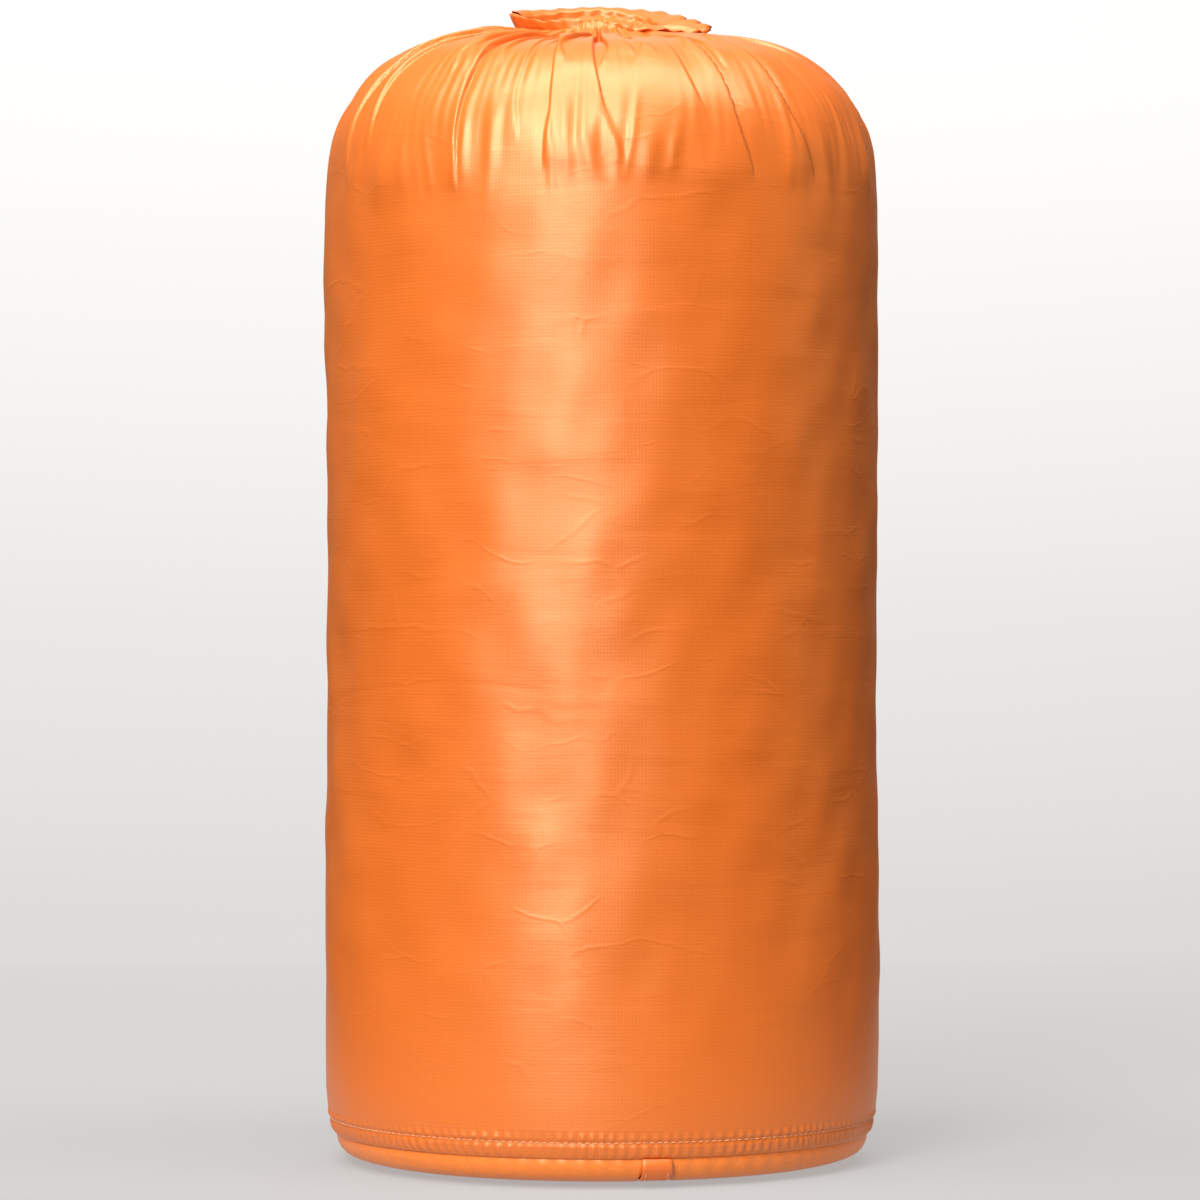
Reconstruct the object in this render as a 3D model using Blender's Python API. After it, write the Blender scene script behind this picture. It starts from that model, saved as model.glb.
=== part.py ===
"""A filled-out stuff sack: a tube of cloth on a round base, drawn shut at the top, with a grab strap below.

Everything is in metres with +Z up. The sack stands on z = 0, its axis is the Z axis and its front faces -Y.
Cloth is drawn 0.8 to 1 mm thick so that each piece is a solid of its own.
"""

import math

import bmesh
import bpy
from mathutils import Vector

MM = 0.001

# The body's outside, from the base seam up to the drawn-in neck, as (radius, height) in mm.
WALL = 0.9
SIDE_PROFILE = [
    (110.6, 10.6), (112.6, 16.5), (114.3, 29.0), (114.6, 80.0), (113.6, 200.0), (114.4, 330.0),
    (115.0, 400.0),
]
DOME_PROFILE = [
    (115.0, 400.0), (114.4, 409.0), (111.8, 420.0), (106.8, 431.0), (98.5, 442.6), (87.0, 452.8),
    (73.0, 459.4), (59.0, 462.4), (46.0, 463.4),
]
NECK_PROFILE = [(46.0, 463.4), (32.0, 463.8), (24.6, 464.0), (22.4, 464.6), (21.8, 465.8), (21.8, 467.6)]
NECK_RADIUS = 21.8
DOME_START = 405.0
PLEATS = 18
PLEAT_DEPTH = 3.8
AROUND = 4 * PLEATS
TURNED_SEGMENTS = 54

# The round base, as (radius, height) of its underside in mm.
BASE_PROFILE = [(110.4, 10.0), (108.8, 6.4), (105.0, 2.8), (99.0, 0.7), (92.0, 0.0), (34.0, 0.0), (12.0, 0.0)]
BASE_WALL = 0.9
BASE_STEPS = 24
SEAM_HEIGHT = 10.3

# Seams and threads, in mm. CLEAR is the gap left between pieces that touch.
THREAD = 0.5
CLEAR = 0.35
TOPSTITCH_HEIGHT = 17.0
SEAM_THREAD_INSET = 1.6
SEAM_THREAD_RISE = 0.6
ALLOWANCE_WALL = 1.3
ALLOWANCE_HEIGHTS = (12.0, 16.5, 21.0)
BINDING_WALL = 0.6
BINDING_DEPTH = 5.0
BINDING_ROW_HEIGHT = 18.5
SIDE_SEAM_ANGLE = math.radians(165.0)
SIDE_SEAM_WIDTH = 9.0
SIDE_SEAM_WALL = 0.9
SIDE_SEAM_HEIGHTS = [24.0] + [height for _, height in SIDE_PROFILE[2:]]

# The drawcord hem: its folded strip as (radius, height above HEM_FOOT) in mm, from the outer stitched edge
# over the top and down to the inner stitched edge. It lies low at the front of the mouth and rises to the back.
HEM_FOOT = 465.0
HEM_STRIP = [
    (22.8, 0.6), (24.6, 2.0), (31.0, 1.9), (38.0, 3.0), (41.6, 5.4), (40.6, 8.2), (36.0, 9.5),
    (28.0, 9.3), (20.0, 8.9), (14.4, 8.0), (12.4, 5.4), (14.2, 2.4), (19.0, 1.6), (19.9, 0.2),
]
HEM_RISE_FRONT = 0.5
HEM_RISE_BACK = 1.5
HEM_WALL = 0.8
HEM_RUFFLES = 11
HEM_RUFFLE_DEPTH = 0.9
HEM_GAP_ANGLE = math.radians(14.0)
HEM_STEPS = 55
DRAWCORD_RADIUS = 1.0
DRAWCORD_RING = 28.0
DRAWCORD_HEIGHT = 5.75
CORD_SIDES = 6

# Each cord end's way out, as the share of the hem's half gap it has crossed and how far out it is by then.
CORD_TAIL = [(0.35, 0.6), (0.52, 2.4), (0.58, 6.0), (0.60, 11.0)]
EXIT_TACK_TURN = 0.055
EXIT_TACK_RADIUS = 24.0
EXIT_TACK_SIZE = (7.0, 1.2, THREAD)

# The grab strap under the base, in mm.
STRAP_ANGLE = math.radians(-78.7)
STRAP_WIDTH = 12.0
STRAP_WALL = 1.2
STRAP_CHANNEL = 14.4
CHANNEL_SLOPE = 2.4
STRAP_ROOM = 2 * CLEAR + STRAP_WALL + THREAD
STRAP_ROW_INSET = 1.6
STRAP_TACK_HEIGHT = 14.2
STRAP_TACK_SIZE = (STRAP_WIDTH - 2.0, 1.4, 0.5)


def clear_scene():
    for thing in list(bpy.data.objects):
        bpy.data.objects.remove(thing, do_unlink=True)


def make_material(name, colour, roughness):
    material = bpy.data.materials.new(name)
    material.use_nodes = True
    shader = material.node_tree.nodes["Principled BSDF"]
    shader.inputs["Base Color"].default_value = (*colour, 1.0)
    shader.inputs["Roughness"].default_value = roughness
    material.diffuse_color = (*colour, 1.0)
    return material


def add_object(name, mesh_data, material, parent=None):
    mesh = bpy.data.meshes.new(name)
    mesh_data.to_mesh(mesh)
    mesh_data.free()
    thing = bpy.data.objects.new(name, mesh)
    bpy.context.scene.collection.objects.link(thing)
    mesh.materials.append(material)
    thing.parent = parent
    return thing


def add_loft(name, rings, material, parent=None, closed=False):
    """Skin a row of equal rings of points; an open row gets flat ends, a closed one meets its start."""
    work = bmesh.new()
    rows = [[work.verts.new(Vector(point) * MM) for point in ring] for ring in rings]
    count = len(rows[0])
    pairs = list(zip(rows, rows[1:]))
    if closed:
        pairs.append((rows[-1], rows[0]))
    for first, second in pairs:
        for i in range(count):
            j = (i + 1) % count
            work.faces.new((first[i], first[j], second[j], second[i]))
    if not closed:
        work.faces.new(rows[0])
        work.faces.new(rows[-1])
    bmesh.ops.recalc_face_normals(work, faces=work.faces)
    return add_object(name, work, material, parent)


def beside(line, distance):
    """The line moved sideways to its left by a distance, point for point."""
    moved = []
    for k, point in enumerate(line):
        along = Vector(line[min(k + 1, len(line) - 1)]) - Vector(line[max(k - 1, 0)])
        along.normalize()
        moved.append((point[0] - along.y * distance, point[1] + along.x * distance))
    return moved


def around(angle, radius, height):
    return (radius * math.cos(angle), radius * math.sin(angle), height)


def full_turn(count):
    return [2 * math.pi * k / count for k in range(count)]


def pleat_drop(angle, radius):
    """How far the drawn-in cloth dips between pleats: deepest near the neck, nothing at its rim or sides."""
    spread = angle + 0.10 * math.sin(3 * angle + 0.6) + 0.05 * math.sin(5 * angle)
    fold = 0.5 - 0.5 * math.cos(PLEATS * spread)
    inner = min(max((radius - NECK_RADIUS - 1.5) / 18.0, 0.0), 1.0)
    outer = min(max((113.0 - radius) / 62.0, 0.0), 1.0)
    return PLEAT_DEPTH * fold * inner * outer


def body_outside():
    return SIDE_PROFILE[:-1] + DOME_PROFILE[:-1] + NECK_PROFILE


def side_radius(height):
    """The body's outer radius at a height below the dome."""
    for low, high in zip(SIDE_PROFILE, SIDE_PROFILE[1:]):
        if height <= high[1]:
            share = (height - low[1]) / (high[1] - low[1])
            return low[0] + (high[0] - low[0]) * share
    return SIDE_PROFILE[-1][0]


def make_body_panel(material):
    outside = body_outside()
    inside = beside(outside, WALL)
    outline = outside + inside[::-1]
    rings = []
    for angle in full_turn(AROUND):
        ring = []
        for radius, height in outline:
            drop = pleat_drop(angle, radius) if height > DOME_START else 0.0
            ring.append(around(angle, radius, height - drop))
        rings.append(ring)
    return add_loft("body_panel", rings, material, closed=True)


def make_side_seam(material, parent):
    """The tube's two edges folded into each other, as a flat strip up the outside."""
    half = SIDE_SEAM_WIDTH / 2
    rings = []
    for height in SIDE_SEAM_HEIGHTS:
        radius = side_radius(height) + CLEAR
        turn = half / radius
        ring = [around(SIDE_SEAM_ANGLE + turn * k, radius, height) for k in (-1, 0, 1)]
        ring += [around(SIDE_SEAM_ANGLE + turn * k, radius + SIDE_SEAM_WALL, height) for k in (1, 0, -1)]
        rings.append(ring)
    return add_loft("side_seam_fold", rings, material, parent)


def make_side_seam_row(name, offset, material, parent):
    """One row of topstitch up the side seam."""
    rings = []
    for height in SIDE_SEAM_HEIGHTS:
        radius = side_radius(height) + 2 * CLEAR + SIDE_SEAM_WALL
        turn = THREAD / 2 / radius
        middle = SIDE_SEAM_ANGLE + offset / radius
        ring = [around(middle - turn, radius, height), around(middle + turn, radius, height)]
        ring += [around(middle + side * turn, radius + THREAD, height) for side in (1, -1)]
        rings.append(ring)
    return add_loft(name, rings, material, parent)


def make_turned_ring(name, outline, material, parent, segments=TURNED_SEGMENTS):
    """A ring turned about the sack's axis from a closed outline of (radius, height)."""
    rings = [[around(angle, *point) for point in outline] for angle in full_turn(segments)]
    return add_loft(name, rings, material, parent, closed=True)


def make_thread_ring(name, radius, height, material, parent, segments=TURNED_SEGMENTS):
    half = THREAD / 2
    outline = [(radius - half, height - half), (radius + half, height - half)]
    outline += [(radius + half, height + half), (radius - half, height + half)]
    return make_turned_ring(name, outline, material, parent, segments)


def base_angles(radius):
    """Angles round the base at a radius, with four on each side where the strap's channel has its edges."""
    floor = math.asin(STRAP_CHANNEL / 2 / radius)
    brim = math.asin((STRAP_CHANNEL / 2 + CHANNEL_SLOPE) / radius)
    angles = []
    for end in (STRAP_ANGLE, STRAP_ANGLE + math.pi):
        angles += [end - brim, end - floor, end + floor, end + brim]
        sweep = math.pi - 2 * brim
        angles += [end + brim + sweep * k / BASE_STEPS for k in range(1, BASE_STEPS)]
    return angles


def base_ring(radius, height, lift):
    """One ring of the base, raised where the strap's channel crosses it."""
    ring = []
    for k, angle in enumerate(base_angles(radius)):
        in_channel = k % (BASE_STEPS + 3) in (1, 2)
        ring.append(around(angle, radius, height + (lift if in_channel else 0.0)))
    return ring


def close_middle(work, ring):
    """Close the innermost ring with the channel's floor, its two slopes and the flat on each side."""
    half = len(ring) // 2
    work.faces.new((ring[1], ring[2], ring[half + 1], ring[half + 2]))
    work.faces.new((ring[2], ring[3], ring[half], ring[half + 1]))
    work.faces.new((ring[0], ring[1], ring[half + 2], ring[half + 3]))
    work.faces.new(ring[3:half + 1])
    work.faces.new(ring[half + 3:] + ring[:1])


def make_base_panel(material, parent):
    """A shallow round dish; its underside is the flat the sack stands on, with a channel for the strap."""
    work = bmesh.new()
    sheets = []
    for line in (BASE_PROFILE, beside(BASE_PROFILE, -BASE_WALL)):
        rings = []
        for (radius, height), (_, underside) in zip(line, BASE_PROFILE):
            lift = STRAP_ROOM * max(1.0 - underside / BASE_PROFILE[1][1], 0.0)
            rings.append([work.verts.new(Vector(point) * MM) for point in base_ring(radius, height, lift)])
        sheets.append(rings)
    count = len(sheets[0][0])
    for rings in sheets:
        for first, second in zip(rings, rings[1:]):
            for i in range(count):
                j = (i + 1) % count
                work.faces.new((first[i], first[j], second[j], second[i]))
        close_middle(work, rings[-1])
    outer, inner = sheets[0][0], sheets[1][0]
    for i in range(count):
        j = (i + 1) % count
        work.faces.new((outer[i], outer[j], inner[j], inner[i]))
    bmesh.ops.recalc_face_normals(work, faces=work.faces)
    return add_object("base_panel", work, material, parent)


def make_base_seam_allowance(material, parent):
    """Both panels' raw edges turned up together inside the body."""
    inset = WALL + 2 * CLEAR + BINDING_WALL
    outer = [(side_radius(height) - inset, height) for height in ALLOWANCE_HEIGHTS]
    outline = outer + [(radius - ALLOWANCE_WALL, height) for radius, height in outer[::-1]]
    return make_turned_ring("base_seam_allowance", outline, material, parent)


def make_base_seam_binding(material, parent):
    """Tape folded over the raw edges."""
    top = ALLOWANCE_HEIGHTS[-1]
    low = top - BINDING_DEPTH
    edge = side_radius(top) - WALL - CLEAR
    slant = side_radius(top) - side_radius(low)
    far = edge - ALLOWANCE_WALL - 2 * BINDING_WALL - 2 * CLEAR
    roof = top + CLEAR
    outline = [(edge - slant, low), (edge, roof + BINDING_WALL), (far, roof + BINDING_WALL), (far - slant, low)]
    outline += [(far - slant + BINDING_WALL, low), (far + BINDING_WALL, roof), (edge - BINDING_WALL, roof)]
    outline += [(edge - slant - BINDING_WALL, low)]
    return make_turned_ring("base_seam_binding", outline, material, parent)


def make_base_threads(material, parent):
    """The seam's own hidden thread, the row that holds its turned-up edges, and the binding's row."""
    foot = side_radius(ALLOWANCE_HEIGHTS[0]) - WALL - SEAM_THREAD_INSET
    make_thread_ring("base_seam_thread", foot, SEAM_HEIGHT + SEAM_THREAD_RISE, material, parent)
    outer = side_radius(TOPSTITCH_HEIGHT) + CLEAR + THREAD / 2
    make_thread_ring("base_topstitch", outer, TOPSTITCH_HEIGHT, material, parent, AROUND)
    inner = side_radius(BINDING_ROW_HEIGHT) - WALL - 2 * BINDING_WALL - ALLOWANCE_WALL - 4 * CLEAR - THREAD
    make_thread_ring("binding_stitch", inner, BINDING_ROW_HEIGHT, material, parent)


def hem_turn(share):
    """The angle at a share of the way round the hem, which is open at the side seam for the cord."""
    return SIDE_SEAM_ANGLE + HEM_GAP_ANGLE / 2 + (2 * math.pi - HEM_GAP_ANGLE) * share


def hem_height(angle, radius, height):
    """The real height of a point of the hem's strip at an angle, with the ruffle of its loose outer fold."""
    rise = HEM_RISE_FRONT + (HEM_RISE_BACK - HEM_RISE_FRONT) * (0.5 + 0.5 * math.sin(angle))
    loose = min(max((radius - 32.0) / 9.0, 0.0), 1.0)
    wave = 0.5 + 0.5 * math.sin(HEM_RUFFLES * angle + 0.8 * math.sin(2 * angle))
    return HEM_FOOT + height * rise + HEM_RUFFLE_DEPTH * loose * wave * rise


def make_hem(material, parent):
    """A strip folded over the cord, its long edges left apart for the neck of the body to pass between."""
    rings = []
    for k in range(HEM_STEPS + 1):
        angle = hem_turn(k / HEM_STEPS)
        strip = [(radius, hem_height(angle, radius, height)) for radius, height in HEM_STRIP]
        outline = beside(strip, HEM_WALL / 2) + beside(strip, -HEM_WALL / 2)[::-1]
        rings.append([around(angle, *point) for point in outline])
    return add_loft("drawcord_hem", rings, material, parent)


def make_hem_stitch(material, parent):
    """The row that closes the hem's tunnel, just inside the mouth."""
    radius = HEM_STRIP[-1][0] - HEM_WALL / 2 - CLEAR - THREAD / 2
    half = THREAD / 2
    rings = []
    for k in range(HEM_STEPS + 1):
        angle = hem_turn(0.005 + 0.99 * k / HEM_STEPS)
        middle = hem_height(angle, *HEM_STRIP[-1]) - HEM_WALL
        square = [(radius - half, middle - half), (radius + half, middle - half)]
        square += [(radius + half, middle + half), (radius - half, middle + half)]
        rings.append([around(angle, *point) for point in square])
    return add_loft("hem_stitch", rings, material, parent)


def cord_point(angle, radius):
    return Vector(around(angle, radius, hem_height(angle, DRAWCORD_RING, DRAWCORD_HEIGHT)))


def make_drawcord(material, parent):
    """The run of cord inside the hem; both ends turn out through its gap and stop at the hem's edge."""
    path = []
    for k in range(HEM_STEPS + 1):
        angle = hem_turn(0.004 + 0.992 * k / HEM_STEPS)
        path.append(cord_point(angle, DRAWCORD_RING))
    for sign, at_start in ((1, True), (-1, False)):
        turn = SIDE_SEAM_ANGLE + sign * HEM_GAP_ANGLE / 2
        tail = []
        for share, out in CORD_TAIL:
            angle = turn - sign * HEM_GAP_ANGLE / 2 * share
            tail.append(cord_point(angle, DRAWCORD_RING + out))
        path = tail[::-1] + path if at_start else path + tail
    rings = []
    for k, point in enumerate(path):
        along = (path[min(k + 1, len(path) - 1)] - path[max(k - 1, 0)]).normalized()
        side = along.cross(Vector((0, 0, 1))).normalized()
        ring = []
        for turn in full_turn(CORD_SIDES):
            spoke = side * math.cos(turn) + Vector((0, 0, 1)) * math.sin(turn)
            ring.append(tuple(point + spoke * DRAWCORD_RADIUS))
        rings.append(ring)
    return add_loft("drawcord", rings, material, parent)


def make_block(name, centre, along, up, size, material, parent):
    """A small block of bar tacking, of size (length, width, height) set along the given directions."""
    along = along.normalized()
    up = up.normalized()
    side = up.cross(along)
    length, width, height = size
    rings = []
    for end in (-length / 2, length / 2):
        corners = ((-1, -1), (1, -1), (1, 1), (-1, 1))
        middle = centre + along * end
        rings.append([tuple(middle + side * a * width / 2 + up * b * height / 2) for a, b in corners])
    return add_loft(name, rings, material, parent)


def make_exit_bartacks(material, parent):
    """A short bar of stitching across the hem on each side of the cord's way out."""
    for name, sign in (("cord_exit_bartack_left", 1), ("cord_exit_bartack_right", -1)):
        angle = SIDE_SEAM_ANGLE + sign * (HEM_GAP_ANGLE / 2 + EXIT_TACK_TURN)
        outward = Vector(around(angle, 1.0, 0.0))
        highest = hem_height(angle, EXIT_TACK_RADIUS, HEM_STRIP[7][1])
        centre = outward * EXIT_TACK_RADIUS + Vector((0, 0, highest + HEM_WALL / 2 + CLEAR + THREAD / 2))
        make_block(name, centre, outward, Vector((0, 0, 1)), EXIT_TACK_SIZE, material, parent)


def channel_line():
    """The base's underside along the strap's channel, from the front rim to the back, as (run, height)."""
    line = []
    for radius, height in BASE_PROFILE:
        line.append((radius, height + STRAP_ROOM * max(1.0 - height / BASE_PROFILE[1][1], 0.0)))
    return line + [(-radius, height) for radius, height in line[::-1]]


def add_along_strap(name, near, far, middle, width, material, parent):
    """A flat run that follows the channel, between two distances below it and so wide about a middle line."""
    forward = Vector((math.cos(STRAP_ANGLE), math.sin(STRAP_ANGLE), 0.0))
    across = Vector((-forward.y, forward.x, 0.0))
    line = channel_line()
    rings = []
    for high, low in zip(beside(line, near), beside(line, far)):
        ring = []
        for (run, height), side in ((low, -0.5), (low, 0.5), (high, 0.5), (high, -0.5)):
            ring.append(tuple(forward * run + across * (middle + width * side) + Vector((0, 0, height))))
        rings.append(ring)
    return add_loft(name, rings, material, parent)


def make_grab_strap(material, thread, parent):
    """The folded strap and the row of stitching along each of its edges."""
    strap = add_along_strap("grab_strap", CLEAR, CLEAR + STRAP_WALL, 0.0, STRAP_WIDTH, material, parent)
    near = CLEAR + STRAP_WALL + CLEAR
    for name, side in (("strap_stitch_left", -1), ("strap_stitch_right", 1)):
        middle = side * (STRAP_WIDTH / 2 - STRAP_ROW_INSET)
        add_along_strap(name, near, near + THREAD, middle, THREAD, thread, strap)


def make_strap_tacks(material, parent):
    """A bar of stitching inside the sack where each end of the strap is caught in the turned-up seam."""
    inside = side_radius(STRAP_TACK_HEIGHT) - WALL - 2 * CLEAR - BINDING_WALL - ALLOWANCE_WALL
    for name, sign in (("strap_bartack_front", 1), ("strap_bartack_back", -1)):
        outward = Vector((math.cos(STRAP_ANGLE), math.sin(STRAP_ANGLE), 0.0)) * sign
        side = Vector((-outward.y, outward.x, 0.0))
        centre = outward * (inside - 2 * CLEAR - STRAP_TACK_SIZE[2] / 2) + Vector((0, 0, STRAP_TACK_HEIGHT))
        make_block(name, centre, side, outward, STRAP_TACK_SIZE, material, parent)


def main():
    clear_scene()
    cloth = make_material("body_cloth", (0.86, 0.19, 0.028), 0.38)
    base_cloth = make_material("base_cloth", (0.84, 0.18, 0.026), 0.42)
    strap_cloth = make_material("strap_cloth", (0.80, 0.16, 0.024), 0.45)
    tape = make_material("binding_tape", (0.30, 0.07, 0.015), 0.7)
    thread = make_material("thread", (0.93, 0.42, 0.16), 0.5)
    cord = make_material("cord", (0.10, 0.10, 0.11), 0.6)

    body = make_body_panel(cloth)
    make_side_seam(cloth, body)
    make_side_seam_row("side_seam_stitch_left", -SIDE_SEAM_WIDTH / 3, thread, body)
    make_side_seam_row("side_seam_stitch_right", SIDE_SEAM_WIDTH / 3, thread, body)
    make_base_panel(base_cloth, body)
    make_base_seam_allowance(cloth, body)
    make_base_seam_binding(tape, body)
    make_base_threads(thread, body)
    make_strap_tacks(thread, body)
    hem = make_hem(cloth, body)
    make_hem_stitch(thread, hem)
    make_drawcord(cord, hem)
    make_exit_bartacks(thread, hem)
    make_grab_strap(strap_cloth, thread, body)


main()
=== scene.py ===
"""The looks of the stuff sack: gathered ripstop cloth, a ruffled mouth, sewn seams and a folded strap."""
import math

import bmesh
import bpy
import numpy as np
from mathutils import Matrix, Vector


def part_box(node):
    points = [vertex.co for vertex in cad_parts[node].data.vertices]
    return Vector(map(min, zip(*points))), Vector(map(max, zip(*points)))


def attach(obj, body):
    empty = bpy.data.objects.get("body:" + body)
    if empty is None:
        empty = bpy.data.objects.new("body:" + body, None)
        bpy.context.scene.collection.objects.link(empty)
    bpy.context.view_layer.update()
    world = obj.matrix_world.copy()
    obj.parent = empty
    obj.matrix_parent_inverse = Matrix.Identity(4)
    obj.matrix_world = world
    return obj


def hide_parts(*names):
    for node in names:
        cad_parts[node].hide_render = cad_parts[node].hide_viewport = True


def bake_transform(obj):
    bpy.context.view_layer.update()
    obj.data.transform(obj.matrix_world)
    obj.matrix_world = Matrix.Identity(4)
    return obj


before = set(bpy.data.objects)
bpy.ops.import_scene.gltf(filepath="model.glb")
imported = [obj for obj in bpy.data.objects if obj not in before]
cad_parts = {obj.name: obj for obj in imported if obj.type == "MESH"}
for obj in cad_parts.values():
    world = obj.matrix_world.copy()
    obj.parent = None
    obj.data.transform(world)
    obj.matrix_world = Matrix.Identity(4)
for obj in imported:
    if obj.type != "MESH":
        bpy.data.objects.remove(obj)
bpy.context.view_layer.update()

MM = 0.001
UP = np.array([0.0, 0.0, 1.0])
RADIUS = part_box("body_panel")[1].x
RIPPLE_WAVES = 9

# The body's outline, as (radius, height) in mm: up the side, over the shoulder and in to the neck.
SIDE = [
    (113.6, 22.0), (114.3, 30.0), (114.7, 80.0), (113.7, 200.0),
    (114.4, 320.0), (114.9, 372.0), (114.7, 393.0),
]
DOME = [
    (113.9, 407.0), (111.6, 419.5), (106.9, 431.0), (98.6, 442.4),
    (87.2, 452.4), (73.0, 459.0), (59.0, 462.0),
]
NECK = [(46.0, 463.2), (33.0, 463.8), (26.0, 464.4), (23.4, 465.6), (22.8, 467.6)]
BODY_AROUND = 900
SIDE_ROWS = 7.0 * MM
DOME_ROWS = 2.0 * MM
DOME_ROWS_START = 390 * MM

# Deep pleats of the dome: degrees from the front at the neck, degrees at the lower end, the height in mm
# where it runs out, how far in mm its rolled edge stands up, and the side that edge faces (1 is right).
PLEATS = [
    (-76.0, -80.0, 418.0, 1.4, -1),
    (-62.0, -66.0, 404.0, 2.2, 1),
    (-52.0, -57.0, 412.0, 1.9, 1),
    (-40.0, -34.0, 436.0, 1.7, 1),
    (-33.0, -31.0, 393.0, 3.2, 1),
    (-19.0, -18.0, 411.0, 1.0, 1),
    (-14.0, -10.0, 401.0, 2.6, -1),
    (-9.0, -10.0, 443.0, 2.7, 1),
    (-5.0, 2.0, 403.0, 2.4, 1),
    (0.0, 1.0, 442.0, 2.7, -1),
    (5.0, 7.0, 447.0, 2.0, 1),
    (15.0, 20.0, 420.0, 1.7, 1),
    (20.0, 31.0, 398.0, 3.0, 1),
    (32.0, 33.0, 444.0, 1.5, -1),
    (36.0, 46.0, 400.0, 2.1, 1),
    (57.0, 62.0, 420.0, 0.6, 1),
]
# Pleats drawn by chance: their number, and the ranges of the lower end's sway in degrees, of the height in
# mm where they run out and of their rise in mm. The back's are spread over an arc, in degrees, that starts to
# the right of the front.
BACK_PLEATS = 19
BACK_PLEAT_RANGES = ((-7, 7), (396, 446), (1.1, 2.3))
BACK_ARC_START = 67.0
BACK_ARC = 220.0
SHORT_FOLDS = 34
SHORT_FOLD_RANGES = ((-3, 3), (438, 457), (0.9, 2.0))
SOFT_FOLDS = 32
STREAKS = 14
# A pleat's edge: how sharply it turns, how wide it is and how much wider it gets from the middle to the side,
# how deep the tucked side goes and how far the edge laps over, as shares of its rise, the width of that lap,
# and how far its line hooks to one side near its lower end.
PLEAT_SHARPNESS = 0.40 * MM
PLEAT_WIDTH = 2.0 * MM
PLEAT_WIDTH_GAIN = 5.0 * MM
PLEAT_TUCK = 0.75
PLEAT_LAP = 0.8
PLEAT_LAP_WIDTH = 1.6 * MM
PLEAT_HOOK = 3.0 * MM
GATHERS = 34
GATHER_DEPTH = 0.9 * MM
HOLLOW_DEPTH = 5.5 * MM
HOLLOW_TURN = math.radians(48)
# Soft dents: depth in mm, how many times finer they are round the sack, size in mm up it, and seed.
SHOULDER_DENTS = [(0.8, 2, 24, 12)]
SIDE_DENTS = [(0.9, 1, 60, 3), (0.42, 3, 8, 5), (0.25, 5, 7, 6)]

# The base seam, in mm: the double band between the seam and its topstitch, and the round base below it.
BAND = [
    (109.6, 10.3), (110.6, 10.7), (111.3, 12.5), (112.0, 14.8),
    (112.6, 17.0), (113.1, 19.5), (113.6, 22.0),
]
BAND_AROUND = 1280
BAND_ROWS = 0.55 * MM
BASE = [
    (109.6, 10.25), (109.8, 9.3), (109.0, 6.3), (106.4, 3.0),
    (101.0, 0.9), (93.0, 0.1), (60.0, 0.05), (0.0, 0.05),
]
BASE_AROUND = 640
BASE_ROWS = 1.6 * MM
TOPSTITCH_RADIUS = 112.55 * MM
TOPSTITCH_HEIGHT = 17.0 * MM
PUCKERS = 162
# Heights in mm: the puckers below the topstitch are full from the first to the second, and those above it are
# full from the third to the fourth and gone at the fifth.
PUCKER_HEIGHTS = (12.6, 14.6, 18.2, 18.4, 22.0)
PUCKER_DEPTH = 0.7 * MM
UPPER_PUCKER_DEPTH = 0.75 * MM
BASE_PUCKER_DEPTH = 0.28 * MM
# Slanting wrinkles where the base pulls on its seam, to the right of the front.
SLANT_TURN = math.radians(52)
SLANT_SPREAD = math.radians(13)
SLANT_DEPTH = 0.32 * MM

# Thread and stitches.
STITCH_PITCH = 2.85 * MM
STITCH_LENGTH = 2.2 * MM
THREAD_RADIUS = 0.24 * MM
THREAD_SIDES = 6
# A stitch from end to end: places as shares of its length, its thickness there and its dip into the cloth.
STITCH_RINGS = [
    (-0.5, 0.15, 1.0), (-0.42, 0.75, 0.45), (-0.2, 1.0, 0.0),
    (0.2, 1.0, 0.0), (0.42, 0.75, 0.45), (0.5, 0.15, 1.0),
]

# The grab strap: degrees from the front, its size, and the room it presses up into the base.
STRAP_TURN = math.radians(11.3)
STRAP_WIDTH = 12.0 * MM
STRAP_WALL = 1.2 * MM
STRAP_ROOM = 2.4 * MM
# The middle line of its upper face, from the front end to the middle of the base, as (run, height) in mm.
STRAP_LINE = [
    (109.9, 9.6), (110.9, 8.3), (110.2, 5.6), (106.6, 2.8),
    (101.0, 2.15), (92.0, 2.0), (60.0, 2.0), (0.0, 2.0),
]
STRAP_ROWS = 1.2 * MM
STRAP_SIDES = 28
STRAP_STITCH_INSET = 1.6 * MM
STRAP_STITCH_START = 6 * MM

# The mouth's ruffle: degrees from the front, and the radius and height in mm of its loose folded edge there.
RUFFLE = [
    (-180, 40, 480.3), (-150, 41, 479.6), (-120, 41, 477.2), (-90, 38, 473.4),
    (-60, 30, 469.0), (-30, 22.6, 468.2), (0, 22.2, 467.2), (30, 25, 465.4),
    (60, 35, 464.8), (90, 44, 465.8), (120, 46, 472.8), (150, 43, 478.4),
]
# Where the back of the hem's inner layer starts to roll over: degrees from the front and the share of the
# way out.
ROLL = [
    (-180, 0.80), (-95, 0.80), (-60, 1.0), (45, 1.0), (75, 0.1),
    (100, 0.2), (125, 0.4), (150, 0.66), (180, 0.80),
]
RUFFLE_FOOT = (23.0, 463.9)
RUFFLE_INSIDE = (18.0, 465.8)
RUFFLE_AROUND = 700
RUFFLE_PUFF = 1.1 * MM
ROLLED_EDGE = 2.4 * MM
CORD_RADIUS = 1.0 * MM
CORD_PLACE = (20.6, 465.9)
CORD_BULGE = 0.9 * MM
CORD_STEPS = 260
CORD_SIDES = 12

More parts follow.
